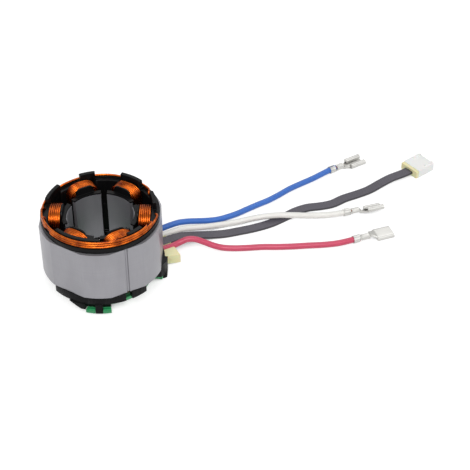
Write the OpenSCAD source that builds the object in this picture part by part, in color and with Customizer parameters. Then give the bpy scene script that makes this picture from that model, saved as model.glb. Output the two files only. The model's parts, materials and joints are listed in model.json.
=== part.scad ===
// Wound stator of a small brushless motor, with phase leads and a sensor ribbon.
// Origin on the bore axis at mid height of the lamination stack, +Z up, millimetres.

/* [Core] */
// Outer diameter of the lamination stack
core_d = 54; // [53:0.5:58]
// Distance across opposite outer flats
core_flat_af = 51.6; // [51.2:0.2:52.6]
// Height of the lamination stack
stack_h = 24; // [18:1:40]
// Bore diameter for the rotor
bore_d = 29; // [28:0.1:29.4]
// Width of a tooth
tooth_w = 7; // [6:0.1:7.6]
// Radial thickness of the tooth tips
tip_t = 1.5; // [1.2:0.1:1.8]
// Width of a slot opening at the bore
slot_open = 2.7; // [2:0.1:3.2]
// Width of the locating grooves in three flats
groove_w = 1.4; // [1:0.1:2]

/* [Insulators] */
// Wall of the slot liners
liner_t = 0.7; // [0.5:0.05:0.8]
// Thickness of the tooth arms under the coil ends
arm_t = 1.2; // [1:0.1:1.6]
// Height of the wire ledge above the stack
ledge_h = 2.4; // [2:0.1:3]
// Height of the castellated wall above the ledge
wall_h = 3.6; // [3:0.1:5]
// Thickness of the castellated wall
wall_t = 1.7; // [1.4:0.1:1.8]
// Outer radius of the castellated wall
wall_r = 24.4; // [24.2:0.1:24.6]
// Height of the sills in the wall gaps above the stack
sill_h = 1.4; // [1.2:0.1:1.8]
// Height of the tongues between coils and bore, above the stack
tongue_h = 4.3; // [4:0.1:5]
// Thickness of the tongues
tongue_t = 0.75; // [0.6:0.05:0.9]
// Thickness of the covers on the tooth tips
tip_cover_h = 0.8; // [0.6:0.1:1.2]
// Setback of the tip covers from the bore
tip_setback = 0.2; // [0.1:0.05:0.4]
// Height of the lower ring below the stack
low_ring_h = 3; // [2:0.1:4]
// Outer radius of the lower ring
low_ring_r = 24.2; // [24:0.1:24.6]
// Height of the lower skirt below the stack
skirt_h = 4.3; // [4:0.1:4.8]
// Outer radius of the lower skirt
skirt_r = 26.2; // [25.8:0.1:26.4]
// Outer radius of the feet
foot_r = 26.9; // [26.6:0.1:27.2]
// Outer radius of the wall that the leads come out through
outlet_r = 27; // [26.6:0.1:27.4]
// Width of the notches that line up with the core grooves
notch_w = 3; // [2:0.1:4]

/* [Coils] */
// Diameter of the enamelled wire
wire_d = 0.92; // [0.9:0.01:0.96]
// Spacing of bedded turns
wire_pitch = 0.85; // [0.8:0.01:0.86]
// Turns in a layer
turns = 6; // [5:1:6]
// Layers in a coil
layers = 3; // [2:1:3]
// Inner radius of the bends over the tooth ends
bend_r = 2.6; // [2.2:0.1:2.8]
// Diameter of the crossover wires
crossover_d = 1; // [0.9:0.02:1.1]

/* [Sensor board] */
// Depth of the board's top face below the stack
board_drop = 7.2; // [6.8:0.1:9]
// Thickness of the board
board_t = 1.6; // [1.2:0.1:2]
// Radius of the board's clear hole
board_hole_r = 10.2; // [9:0.1:11]
// Outer radius of the board between the feet
board_r = 21.3; // [21:0.1:22]
// Depth of the snap hooks below the board
hook_h = 1.2; // [1:0.1:2]
// Width of a position sensor
sensor_w = 2.9; // [2.5:0.1:3.2]
// Radius of the ring of position sensors
sensor_ring_r = 12.4; // [12:0.1:13]

/* [Leads] */
// Diameter of the phase leads
lead_d = 2.8; // [2.6:0.05:2.9]
// Width of the sensor ribbon
ribbon_w = 5.2; // [4.6:0.1:5.3]
// Thickness of the sensor ribbon
ribbon_t = 1.3; // [1:0.05:1.4]
// Depth of the clamp outside the outlet wall
clamp_depth = 6.2; // [5.6:0.1:6.4]

/* [Terminals] */
// Outside width of a push-on receptacle
box_w = 7.4; // [7:0.1:7.8]
// Length of the receptacle's rolled box
box_l = 8; // [7:0.1:9]
// Thickness of the receptacle's sheet
sheet_t = 0.4; // [0.3:0.02:0.5]
// Width of the sensor plug
plug_w = 10.5; // [10:0.1:12]
// Length of the sensor plug
plug_l = 10; // [8:0.1:12]
// Height of the sensor plug
plug_h = 4.2; // [3.8:0.1:5]
// Pitch of the plug's contacts
contact_pitch = 1.5; // [1.4:0.02:1.6]

/* [Hidden] */

$fn = 96;
teeth = 6;
pitch_angle = 360 / teeth;
fit = 0.05;
cut = 1;

// Levels
stack_top = stack_h / 2;
board_top = -stack_top - board_drop;
board_low = board_top - board_t;
rest_z = board_low - hook_h;

// Winding window round one tooth
bore_r = bore_d / 2;
tip_r = bore_r + tip_t;
coil_l = (turns - 1) * wire_pitch + wire_d;
coil_build = (layers - 1) * wire_pitch + wire_d;
coil_r0 = tip_r + liner_t + 2 * fit;
coil_r1 = coil_r0 + coil_l;
slot_flat = coil_r1 + liner_t + 2 * fit;
window_w = tooth_w / 2 + liner_t + 2 * fit;
window_h = stack_top + arm_t + fit;
slot_round_r = norm([coil_r1, window_w + coil_build]) + liner_t + 2 * fit;

// Angles of the castellated wall's arcs, and of the gaps with a low sill
wall_arcs = [[4, 25], [46, 72], [101, 118], [145, 171], [225, 275], [305, 323]];
sill_arcs = [[25, 46], [72, 101], [118, 145], [275, 305]];
sill_inset = 0.6;
ledge_r = core_flat_af / 2;
ledge_z = stack_top + ledge_h;

// Inside of the castellated wall, clear of the coil corners at the ledge
bend_rise = ledge_z - fit - window_h + bend_r;
bend_reach = window_w - bend_r + sqrt((bend_r + coil_build) ^ 2 - bend_rise ^ 2);
wall_in = max(wall_r - wall_t, norm([coil_r1, bend_reach]) + fit);

// Crossover wires: first angle, last angle and row above the ledge
crossovers = [[34, 212, 0], [216, 356, 0], [180, 340, 1], [198, 330, 2]];
crossover_r = wall_r + 2 * fit + crossover_d / 2;
crossover_pitch = crossover_d + 2 * fit;
crossover_overhang = 0.6;
crossover_end_r = coil_r1 + crossover_overhang;

// Lower frame: skirt, feet and hooks by angle
groove_angles = [60, 180, 300];
notch_in_r = 22.5;
skirt_arcs = [[222, 320], [102, 172]];
skirt_z = -stack_top - skirt_h;
foot_angles = [267, 147];
foot_before = 14;
foot_after = 15;
foot_slope = 12;
foot_inner_r = 23.7;
foot_back_r = 24.7;
pad_after = -9.5;
foot_overlap = 1;
hook_shift = 3.3;
hook_half = 3.4;
hook_t = 1.7;
hook_root = 1.1;
hook_tip = [1.4, 1];
barb = 0.7;
foot_hook_r = foot_r - 2 * fit;
foot_hook_in = skirt_r - hook_root;
board_margin = 0.3;

// Wall and post of the lead outlet
outlet_arc = [3, 64];
outlet_wall = 2;
outlet_inner_r = outlet_r - outlet_wall;
outlet_gap = 0.4;
post_out = 1;
post_hook_angle = 359;
post_hook_r = outlet_r + post_out;
post_hook_in = post_hook_r - hook_t;
post_root = 0.7;
post_in_r = low_ring_r - post_root;
post_out_r = post_hook_r + 2 * fit;
post_sides = [-4.6, 2.2];
post_chamfer = [2.5, 3.9];
post_top = -stack_top - outlet_gap - 2 * fit;
post_low = board_top + 2 * fit;
lobe_arc = [-9, 63];
lobe_r = post_hook_in - 2 * fit;

// Lead outlet: direction of the leads, and each lead's offset across it
outlet_angle = 29;
across_red = -1;
across_ribbon = 3.5;
across_white = 8;
across_blue = 12.4;
lead_clear = 0.1;
clamp_reach = outlet_r + clamp_depth;
lead_r = lead_d / 2;
lead_floor = 0.3;
lead_z = board_top + lead_floor + lead_r + lead_clear;
lead_up = lead_z - rest_z;
clamp_up = lead_z + lead_r / 2;
clamp_drop = 0.4;
clamp_low = board_low - clamp_drop;
clamp_front = [-6.2, -9];
clamp_back = 14.6;
key_across = -4.3;
key_w = 1.8;
key_h = 1.3;
key_depth = 1.2;
tab_w = 3;
tab_t = 0.8;
tab_l = 3;
tab_h = board_drop - skirt_h - 2 * fit;

// Receptacles: place of the crimp's rear end and heading; one lies tilted on its edge
place_blue = [102, 77, 33];
place_white = [107.6, 42.8, 20];
tilt_white = -30;
place_red = [111.5, 24.6, 21.5];
grip_l = 3.4;
grip_gap = 0.8;
barrel_l = 4;
neck_l = 3;
grip_r = lead_r + fit + sheet_t;
barrel_r = 1.35;
curl_r = 1.2;
grip_up = grip_r;
tilted_up = curl_r + (box_w / 2 - curl_r) * sin(abs(tilt_white)) + (grip_r - curl_r) * cos(tilt_white);

// Plug: middle of its entry face, and heading
place_plug = [140.6, 77.2, 40];
retainer_l = 1.6;
retainer_inset = 0.3;
entry_l = 2.5;
cavity_wall = 0.5;
contact_back = 2;
guide_inset = 1.2;
guide_w = 0.6;
cores = 6;

function direction(a) = [cos(a), sin(a)];
function outlet_point(reach, across) =
    reach * direction(outlet_angle) + across * direction(outlet_angle + 90);
function outlet_start(across, w) =
    sqrt(outlet_inner_r ^ 2 - (abs(across) + w / 2) ^ 2) - 2 * fit;
function at_height(p, h) = [p[0], p[1], h];
function ahead(place, l) = [place[0], place[1]] + l * direction(place[2]);

// Cord routes: x, y and height above the surface that the stator stands on
outlet_blue = [
    at_height(outlet_point(outlet_start(across_blue, tab_w), across_blue), lead_up),
    at_height(outlet_point(clamp_reach, across_blue), lead_up)
];
route_blue = concat(outlet_blue, [
    [26.5, 28.6, 5.1], [31, 30.7, 5.4], [35.5, 32.5, 4.8], [40, 34.2, 3.7], [44.5, 36.1, 2.5],
    [49, 38, 1.7], [53.5, 40.4, 1.4], [58, 43, 1.4], [62.5, 46.3, 1.4], [67.5, 49.9, 1.4],
    [72.5, 53.3, 1.4], [77.5, 57.6, 1.4], [82.5, 62.3, 1.4], [88, 66.5, 1.4], [93.5, 70.5, 1.4],
    [98, 74, 1.6]
], [at_height(ahead(place_blue, 0), grip_up), at_height(ahead(place_blue, grip_l), grip_up)]);

outlet_white = [
    at_height(outlet_point(outlet_start(across_white, tab_w), across_white), lead_up),
    at_height(outlet_point(clamp_reach, across_white), lead_up)
];
route_white = concat(outlet_white, [
    [29.4, 25, 4.9], [33.7, 26.9, 5], [38, 28.6, 4.2], [44, 31.4, 2.7], [51, 34.4, 1.6],
    [57.5, 36.5, 1.4], [64, 38, 2.2], [71, 39.2, 3], [77.5, 40.1, 3.1], [84.5, 40.4, 3],
    [91, 41.5, 2], [98.5, 42.5, 1.6], [103.5, 42.3, 2.4]
], [at_height(ahead(place_white, 0), tilted_up), at_height(ahead(place_white, grip_l), tilted_up)]);

outlet_red = [
    at_height(outlet_point(outlet_start(across_red, tab_w), across_red), lead_up),
    at_height(outlet_point(clamp_reach, across_red), lead_up)
];
route_red = concat(outlet_red, [
    [32.6, 16.9, 5.2], [36, 18, 6.2], [39.5, 18.4, 5.9], [43.5, 18.3, 4.4], [48, 18, 2.6],
    [52, 17.9, 1.6], [57, 17.8, 1.4], [63, 18.2, 1.4], [70, 19, 1.4], [77, 19.2, 1.4],
    [84, 19.7, 1.4], [91, 20.5, 1.4], [98, 21.2, 1.4], [104, 22.2, 1.5], [108, 23.3, 1.7]
], [at_height(ahead(place_red, 0), grip_up), at_height(ahead(place_red, grip_l), grip_up)]);

outlet_ribbon = [
    at_height(outlet_point(outlet_start(across_ribbon, ribbon_w), across_ribbon), lead_up),
    at_height(outlet_point(clamp_reach, across_ribbon), lead_up)
];
route_ribbon = concat(outlet_ribbon, [
    [31, 21, 4.7], [35, 22.8, 4.2], [40.7, 25.2, 2.7], [46.5, 27.3, 1.3], [52.5, 28.8, 0.75],
    [60, 31.1, 0.75], [67, 33.6, 0.75], [73.5, 36.8, 0.75], [80, 41.5, 0.75], [85.5, 46, 0.75],
    [91, 48.9, 0.75], [97, 50.2, 0.75], [102.5, 52, 0.75], [108.5, 56.3, 0.75], [114.5, 59.5, 0.75],
    [120.5, 63.1, 0.8], [126.5, 68.2, 1], [131.5, 71.8, 1.5], [135.5, 73.8, 1.9]
], [at_height(ahead(place_plug, -entry_l), plug_h / 2), at_height(ahead(place_plug, 0), plug_h / 2)]);

// Sweeps a closed profile along a path, as one polyhedron
function tangent(path, i) =
    let (a = path[max(i - 1, 0)], b = path[min(i + 1, len(path) - 1)])
    (b - a) / norm(b - a);
function ring(path, i, profile) =
    let (t = tangent(path, i),
         s = cross([0, 0, 1], t) / norm(cross([0, 0, 1], t)),
         u = cross(t, s))
    [for (p = profile) path[i] + p[0] * s + p[1] * u];

module sweep(path, profile) {
    n = len(profile);
    m = len(path);
    points = [for (i = [0 : m - 1]) each ring(path, i, profile)];
    sides = [for (i = [0 : m - 2]) for (k = [0 : n - 1])
        [i * n + k, (i + 1) * n + k, (i + 1) * n + (k + 1) % n, i * n + (k + 1) % n]];
    first = [for (k = [0 : n - 1]) k];
    last = [for (k = [n - 1 : -1 : 0]) (m - 1) * n + k];
    translate([0, 0, rest_z])
        polyhedron(points, concat([first], sides, [last]), convexity = 6);
}

function round_profile(r) = [for (k = [0 : 7]) r * direction(k * 45)];
function flat_profile(w, t) =
    let (x = w / 2, y = t / 2, c = t / 3)
    [[x, c - y], [x, y - c], [x - c, y], [c - x, y], [-x, y - c], [-x, c - y], [c - x, -y], [x - c, -y]];

// Places children on the tooth with the given number
module on_tooth(i) {
    rotate([0, 0, i * pitch_angle]) children();
}

// A sector of a ring, between two angles
module arc_wall(arc, r0, r1, z0, z1) {
    rotate([0, 0, arc[0]])
        rotate_extrude(angle = arc[1] - arc[0])
            translate([r0, z0])
                square([r1 - r0, z1 - z0]);
}

// Outer boundary of the slots, moved inwards by a margin
module slot_outer(inset) {
    intersection() {
        circle(r = slot_round_r - inset);
        rotate(pitch_angle / 2)
            circle(r = (slot_flat - inset) / cos(pitch_angle / 2), $fn = teeth);
    }
}

// All slots, shrunk by one margin along yoke and tips and another along the teeth
module slots(inset, tooth_inset) {
    difference() {
        slot_outer(inset);
        circle(r = tip_r + inset);
        for (i = [0 : teeth - 1])
            rotate(i * pitch_angle)
                translate([0, -tooth_w / 2 - tooth_inset])
                    square([core_d, tooth_w + 2 * tooth_inset]);
    }
}

// Slot openings at the bore
module slot_openings(w) {
    for (i = [0 : teeth - 1])
        rotate((i + 0.5) * pitch_angle)
            translate([bore_r - cut - tip_t, -w / 2])
                square([tip_t * 2 + liner_t + 2 * cut, w]);
}

// Stack of laminations
module stator_core() {
    color("lightslategray")
        translate([0, 0, -stack_top])
            linear_extrude(height = stack_h)
                difference() {
                    intersection() {
                        circle(d = core_d);
                        rotate(pitch_angle / 2)
                            circle(r = core_flat_af / 2 / cos(pitch_angle / 2), $fn = teeth);
                    }
                    circle(r = bore_r);
                    slots(0, 0);
                    slot_openings(slot_open);
                    for (a = groove_angles)
                        rotate(a)
                            translate([core_flat_af / 2, 0])
                                circle(d = groove_w);
                }
}

// Cross-section of the winding window, with rounded corners
module window_section() {
    w = window_w - fit;
    h = window_h - fit;
    r = bend_r - fit;
    square([2 * (w - r), 2 * h], center = true);
    square([2 * w, 2 * (h - r)], center = true);
    for (x = [-1, 1], y = [-1, 1])
        translate([x * (w - r), y * (h - r)])
            circle(r = r);
}

// Saddle over one tooth end: two slot walls joined by a rounded arm
module saddle() {
    start = tip_r + fit;
    end = slot_flat - fit - liner_t / 2;
    translate([start, 0, 0])
        rotate([90, 0, 90])
            linear_extrude(height = end - start)
                difference() {
                    window_section();
                    translate([-tooth_w / 2 - fit, -cut])
                        square([tooth_w + 2 * fit, stack_top + cut]);
                    translate([-2 * window_w, fit - 2 * window_h])
                        square([4 * window_w, 2 * window_h]);
                }
}

// Slot walls along the yoke and behind the tooth tips
module slot_lining() {
    difference() {
        slots(fit, fit + liner_t / 2);
        difference() {
            slot_outer(fit + liner_t);
            circle(r = tip_r + fit + liner_t);
        }
        slot_openings(slot_open);
    }
}

// Tongue on one tooth that keeps the coil off the bore, with rounded shoulders
module tongue() {
    w = window_w - fit;
    r = bend_r - fit;
    translate([coil_r0 - fit - tongue_t, 0, stack_top])
        rotate([90, 0, 90])
            linear_extrude(height = tongue_t)
                intersection() {
                    translate([-w, tip_cover_h / 2])
                        square([2 * w, tongue_h]);
                    union() {
                        translate([-w, 0])
                            square([2 * w, tongue_h - r]);
                        translate([r - w, 0])
                            square([2 * (w - r), tongue_h]);
                        for (x = [r - w, w - r])
                            translate([x, tongue_h - r])
                                circle(r = r);
                    }
                }
}

// End frame on top of the stack: ring, tip covers, slot walls, saddles and tongues
module end_frame(ring_r, ring_h) {
    translate([0, 0, stack_top])
        linear_extrude(height = ring_h)
            difference() {
                circle(r = ring_r);
                slot_outer(liner_t + fit);
            }
    translate([0, 0, stack_top])
        linear_extrude(height = tip_cover_h)
            difference() {
                circle(r = tip_r + liner_t + fit);
                circle(r = bore_r + tip_setback);
                slot_openings(slot_open);
            }
    translate([0, 0, fit])
        linear_extrude(height = stack_top)
            slot_lining();
    for (i = [0 : teeth - 1])
        on_tooth(i) {
            saddle();
            tongue();
        }
}

// Upper end frame with the castellated wall that the crossover wires run round
module top_insulator() {
    color("dimgray") {
        difference() {
            end_frame(ledge_r, ledge_h);
            for (a = sill_arcs)
                arc_wall([a[0] + sill_inset, a[1] - sill_inset], wall_in - cut, wall_r + 2 * fit,
                         stack_top + sill_h, ledge_z + cut);
        }
        for (a = wall_arcs)
            arc_wall(a, wall_in, wall_r, ledge_z - fit, ledge_z + wall_h);
    }
}

// A foot of the lower frame: a plate behind the board's ear, and a pad with one sloped side
module foot(angle) {
    h = skirt_z - board_top;
    first = angle - foot_before;
    arc_wall([angle + pad_after - foot_overlap, angle + foot_after], foot_inner_r + fit, foot_back_r,
             board_top + fit, skirt_z + 2 * fit);
    difference() {
        arc_wall([first - foot_slope, angle + pad_after], foot_inner_r, foot_r, board_top, skirt_z + fit);
        rotate([0, 0, first])
            translate([foot_inner_r - cut, 0, board_top])
                rotate([atan(foot_r * sin(foot_slope) / h), 0, 0])
                    translate([0, -4 * h, -h])
                        cube([foot_r - foot_inner_r + 2 * cut, 4 * h, 5 * h]);
    }
}

// A snap hook round the board's edge, with a tapered tip
module hook(angle, inner, r, top) {
    rotate([0, 0, angle - hook_half])
        rotate_extrude(angle = 2 * hook_half)
            polygon([
                [inner, top], [r, top], [r, rest_z + hook_tip[1]],
                [r - hook_tip[0], rest_z], [inner - barb, rest_z], [inner - barb, board_low - fit],
                [inner, board_low - fit]
            ]);
}

// Bores and slot that the leads and the ribbon pass through
module lead_passages() {
    span = 2 * clamp_reach;
    rotate([0, 0, outlet_angle]) {
        for (a = [across_red, across_white, across_blue])
            translate([0, a, lead_z])
                rotate([0, 90, 0])
                    cylinder(d = lead_d + 2 * lead_clear, h = span);
        translate([0, across_ribbon - ribbon_w / 2 - lead_clear, lead_z - ribbon_t / 2 - lead_clear])
            cube([span, ribbon_w + 2 * lead_clear, ribbon_t + 2 * lead_clear]);
    }
}

// Key that holds the clamp in the outlet wall
module clamp_key(margin) {
    rotate([0, 0, outlet_angle])
        translate([outlet_r - key_depth - margin, key_across, lead_z])
            translate([0, -key_w / 2 - margin, -key_h / 2 - margin])
                cube([clamp_depth, key_w + 2 * margin, key_h + 2 * margin]);
}

// Skirt below the stack
module skirt() {
    for (a = skirt_arcs)
        arc_wall(a, foot_inner_r - 2 * fit, skirt_r, skirt_z, -stack_top - fit);
}

// Notches in line with the core grooves
module notches() {
    for (a = groove_angles)
        rotate([0, 0, a])
            translate([notch_in_r, -notch_w / 2, skirt_z - cut])
                cube([skirt_r - notch_in_r + cut, notch_w, skirt_h + 2 * cut]);
}

// Wall that the leads come out through, and the post at its front end
module lead_outlet() {
    difference() {
        union() {
            arc_wall(outlet_arc, outlet_inner_r, outlet_r, board_top, -stack_top - outlet_gap);
            arc_wall(outlet_arc, foot_inner_r, max(foot_inner_r, outlet_inner_r) + fit,
                     skirt_z, -stack_top - 2 * outlet_gap);
        }
        lead_passages();
        clamp_key(lead_clear);
    }
    translate([0, 0, post_low])
        linear_extrude(height = post_top - post_low)
            polygon([
                [post_in_r, post_sides[0]], [post_out_r - post_chamfer[0], post_sides[0]],
                [post_out_r, post_sides[0] + post_chamfer[1]], [post_out_r, post_sides[1]],
                [post_in_r, post_sides[1]]
            ]);
    hook(post_hook_angle, post_hook_in, post_hook_r, post_low + 2 * fit);
}

// Lower end frame with skirt, feet, snap hooks and the lead outlet
module bottom_insulator() {
    color("dimgray") {
        difference() {
            union() {
                mirror([0, 0, 1])
                    end_frame(low_ring_r, low_ring_h);
                skirt();
            }
            notches();
        }
        for (a = foot_angles) {
            foot(a);
            hook(a + hook_shift, foot_hook_in, foot_hook_r, skirt_z + 3 * fit);
        }
        lead_outlet();
    }
}

// Cross-section of a coil: rows of bedded round turns
module coil_section() {
    last_x = coil_l - wire_d / 2;
    last_y = coil_build - wire_d / 2;
    translate([wire_d / 2, wire_d / 2])
        square([coil_l - wire_d, coil_build - wire_d]);
    for (i = [0 : turns - 1], y = [wire_d / 2, last_y])
        translate([wire_d / 2 + i * wire_pitch, y])
            circle(d = wire_d);
    for (j = [1 : layers - 2], x = [wire_d / 2, last_x])
        translate([x, wire_d / 2 + j * wire_pitch])
            circle(d = wire_d);
}

// One coil, wound round the saddles of one tooth
module coil(i) {
    w = window_w;
    h = window_h;
    r = bend_r;
    color("chocolate")
        on_tooth(i)
            translate([coil_r0, 0, 0]) {
                for (side = [0, 1])
                    mirror([0, side, 0])
                        translate([0, w, r - h])
                            linear_extrude(height = 2 * (h - r))
                                coil_section();
                for (end = [0, 1])
                    mirror([0, 0, end])
                        translate([0, w - r, h])
                            rotate([90, 0, 0])
                                linear_extrude(height = 2 * (w - r))
                                    coil_section();
                for (side = [0, 1], end = [0, 1])
                    mirror([0, side, 0])
                        mirror([0, 0, end])
                            translate([0, w - r, h - r])
                                rotate([90, 0, 90])
                                    rotate_extrude(angle = 90)
                                        translate([r, 0])
                                            mirror([1, -1])
                                                coil_section();
            }
}

// One crossover wire on the ledge, with its ends turned in through gaps of the wall
module crossover(i) {
    first = crossovers[i][0];
    last = crossovers[i][1];
    z = ledge_z + 2 * fit + crossover_d / 2 + crossover_pitch * crossovers[i][2];
    color("peru")
        translate([0, 0, z]) {
            rotate([0, 0, first])
                rotate_extrude(angle = last - first)
                    translate([crossover_r, 0])
                        circle(d = crossover_d);
            for (a = [first, last])
                rotate([0, 0, a]) {
                    translate([crossover_r, 0, 0])
                        sphere(d = crossover_d + 2 * fit);
                    translate([crossover_end_r, 0, 0])
                        rotate([0, 90, 0])
                            cylinder(d = crossover_d, h = crossover_r - crossover_end_r);
                }
        }
}

// Outline of the sensor board: ring, ears at the feet, and the lobe under the lead outlet
module board_outline() {
    difference() {
        union() {
            circle(r = board_r);
            for (a = foot_angles)
                sector_2d([a + pad_after + board_margin, a + foot_after - board_margin], foot_r);
            sector_2d(lobe_arc, lobe_r);
        }
        circle(r = board_hole_r);
        for (a = foot_angles)
            hook_notch(a + hook_shift);
    }
}

// A pie slice up to the given radius, less than half a turn
module sector_2d(arc, r) {
    far = 2 * r;
    middle = (arc[0] + arc[1]) / 2;
    intersection() {
        circle(r = r);
        polygon([[0, 0], far * direction(arc[0]), far * direction(middle), far * direction(arc[1])]);
    }
}

// Notch in the board's edge for a foot's hook
module hook_notch(angle) {
    half = foot_hook_r * sin(hook_half) + 2 * fit;
    rotate(angle)
        translate([foot_hook_in - 2 * fit, -half])
            square([foot_hook_r - foot_hook_in + cut, 2 * half]);
}

// Green circuit board, clipped on below the lower frame
module sensor_board() {
    color("seagreen")
        translate([0, 0, board_low])
            linear_extrude(height = board_t)
                board_outline();
}

// Position sensors on the board, facing the rotor
module hall_sensors() {
    body_h = 1.1;
    body_l = 1.6;
    leg_w = 0.4;
    leg_t = 0.15;
    leg_l = 0.55;
    leg_y = 0.95;
    color("black")
        for (a = [30 : 120 : 270])
            rotate([0, 0, a])
                translate([sensor_ring_r, 0, board_top]) {
                    translate([-body_l / 2, -sensor_w / 2, leg_t])
                        cube([body_l, sensor_w, body_h - leg_t]);
                    for (y = [-leg_y, leg_y])
                        translate([body_l / 2 - leg_t, y - leg_w / 2, 0])
                            cube([leg_l + leg_t, leg_w, 2 * leg_t]);
                    translate([-body_l / 2 - leg_l, -leg_w / 2, 0])
                        cube([leg_l + leg_t, leg_w, 2 * leg_t]);
                }
}

// Small capacitors and resistors beside the sensors
module board_parts() {
    part_l = 2;
    part_w = 1.25;
    part_h = 0.8;
    part_angle = 15;
    part_gap = 3;
    color("tan")
        for (i = [0 : teeth - 1])
            rotate([0, 0, i * pitch_angle + part_angle])
                translate([sensor_ring_r + part_gap, -part_w / 2, board_top])
                    cube([part_l, part_w, part_h]);
}

// Header that the ribbon's cores are soldered into
module ribbon_header() {
    header_l = 2.4;
    start = outlet_start(across_ribbon, ribbon_w);
    color("ivory")
        rotate([0, 0, outlet_angle])
            translate([start - header_l, across_ribbon - ribbon_w / 2, board_top])
                cube([header_l, ribbon_w, tab_h]);
}

// Tab that joins a phase lead to its coil ends
module phase_tab(across) {
    start = outlet_start(across, tab_w);
    color("silver")
        rotate([0, 0, outlet_angle])
            translate([start - tab_l, across - tab_w / 2, board_top]) {
                cube([tab_l, tab_w, tab_t]);
                translate([tab_l - tab_t, 0, 0])
                    cube([tab_t, tab_w, tab_h]);
            }
}

// Bar with a channel for each lead, seated on the round face of the outlet
module lead_clamp() {
    inner = outlet_inner_r - cut;
    color("cornsilk")
        difference() {
            union() {
                difference() {
                    translate([0, 0, clamp_low])
                        linear_extrude(height = clamp_up - clamp_low)
                            rotate(outlet_angle)
                                polygon([
                                    [inner, clamp_front[0]], [clamp_reach, clamp_front[1]],
                                    [clamp_reach, clamp_back], [inner, clamp_back]
                                ]);
                    translate([0, 0, clamp_low - cut])
                        cylinder(r = outlet_r + fit, h = clamp_up - clamp_low + 2 * cut);
                }
                clamp_key(0);
            }
            rotate([0, 0, outlet_angle]) {
                for (a = [across_red, across_white, across_blue])
                    channel(a, lead_d);
                channel(across_ribbon, ribbon_w, ribbon_t);
            }
        }
}

// Channel open at the top, with a round floor for a lead or a flat one for the ribbon
module channel(across, w, t = 0) {
    wide = w + 2 * lead_clear;
    span = 2 * clamp_reach;
    floor_z = t > 0 ? lead_z - t / 2 - lead_clear : lead_z;
    if (t == 0)
        translate([0, across, lead_z])
            rotate([0, 90, 0])
                cylinder(d = wide, h = span);
    translate([0, across - wide / 2, floor_z])
        cube([span, wide, lead_d]);
}

// Phase leads and sensor ribbon
module lead_blue() {
    color("royalblue")
        sweep(route_blue, round_profile(lead_r));
}

module lead_white() {
    color("whitesmoke")
        sweep(route_white, round_profile(lead_r));
}

module lead_red() {
    color("crimson")
        sweep(route_red, round_profile(lead_r));
}

module sensor_ribbon() {
    color("dimgray")
        sweep(route_ribbon, flat_profile(ribbon_w, ribbon_t));
}

// Half of the rolled box, seen along its length
module box_section() {
    x = box_w / 2 - curl_r;
    square([x, sheet_t]);
    translate([x, curl_r])
        difference() {
            circle(r = curl_r, $fn = 48);
            circle(r = curl_r - sheet_t, $fn = 48);
            translate([-2 * curl_r, -2 * curl_r])
                square([2 * curl_r, 3 * curl_r]);
        }
    translate([x - curl_r / 2, 2 * curl_r - sheet_t])
        square([curl_r / 2, sheet_t]);
}

// Push-on receptacle: insulation grip, crimped barrel, neck and rolled box
module receptacle(place, up, tilt, over) {
    barrel_x = grip_l + grip_gap;
    neck_x = barrel_x + barrel_l;
    box_x = neck_x + neck_l;
    tall = 2 * curl_r;
    color("gainsboro")
        translate([place[0], place[1], rest_z + up])
            rotate([tilt, 0, place[2]]) {
                rotate([0, 90, 0])
                    difference() {
                        cylinder(r = grip_r, h = grip_l + sheet_t);
                        translate([0, 0, -cut])
                            cylinder(r = lead_r + fit, h = grip_l + cut);
                    }
                translate([grip_l, 0, 0])
                    rotate([0, 90, 0])
                        cylinder(r = barrel_r, h = neck_x - grip_l);
                translate([neck_x - sheet_t, 0, over ? tall - grip_r : -grip_r])
                    mirror([0, 0, over ? 1 : 0]) {
                        receptacle_neck(neck_l + 2 * sheet_t);
                        translate([neck_l + sheet_t, 0, 0])
                            for (side = [0, 1])
                                mirror([0, side, 0])
                                    rotate([90, 0, 90])
                                        linear_extrude(height = box_l)
                                            box_section();
                    }
            }
}

// Neck: flat sheet that widens from the barrel to the box, with raised edges
module receptacle_neck(l) {
    narrow = 2 * barrel_r;
    wide = box_w - 2 * curl_r;
    linear_extrude(height = sheet_t)
        polygon([[0, -narrow / 2], [l, -wide / 2], [l, wide / 2], [0, narrow / 2]]);
    translate([0, -narrow / 2, 0])
        cube([sheet_t * 2, narrow, grip_r]);
}

// Plug housing with one cavity for each core, and guide ribs
module sensor_plug() {
    cavity = contact_pitch - cavity_wall;
    color("white")
        plug_place()
            difference() {
                union() {
                    translate([retainer_l, -plug_w / 2, 0])
                        cube([plug_l, plug_w, plug_h]);
                    for (y = [-1, 1])
                        translate([retainer_l + plug_l / 2, y * (plug_w / 2 - guide_inset), plug_h])
                            translate([0, -guide_w / 2, 0])
                                cube([plug_l / 2, guide_w, guide_w]);
                }
                for (k = [0 : cores - 1])
                    translate([retainer_l - cut, contact_y(k) - cavity / 2, plug_h / 2 - cavity / 2])
                        cube([plug_l + 2 * cut, cavity, cavity]);
            }
}

function contact_y(k) = (k - (cores - 1) / 2) * contact_pitch;

module plug_place() {
    translate([place_plug[0], place_plug[1], rest_z])
        rotate([0, 0, place_plug[2]])
            children();
}

// Crimp contacts, each in its own cavity
module plug_contacts() {
    side = contact_pitch - cavity_wall - 4 * fit;
    contact_l = plug_l - contact_back;
    color("silver")
        plug_place()
            for (k = [0 : cores - 1])
                translate([retainer_l + fit, contact_y(k) - side / 2, plug_h / 2 - side / 2])
                    difference() {
                        cube([contact_l, side, side]);
                        translate([contact_l / 2, side / 4, side / 4])
                            cube([contact_l, side / 2, side / 2]);
                    }
}

// Strip that holds the ribbon's cores behind the plug
module plug_retainer() {
    color("cornsilk")
        plug_place()
            translate([0, -plug_w / 2, retainer_inset])
                cube([retainer_l, plug_w, plug_h - 2 * retainer_inset]);
}

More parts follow.
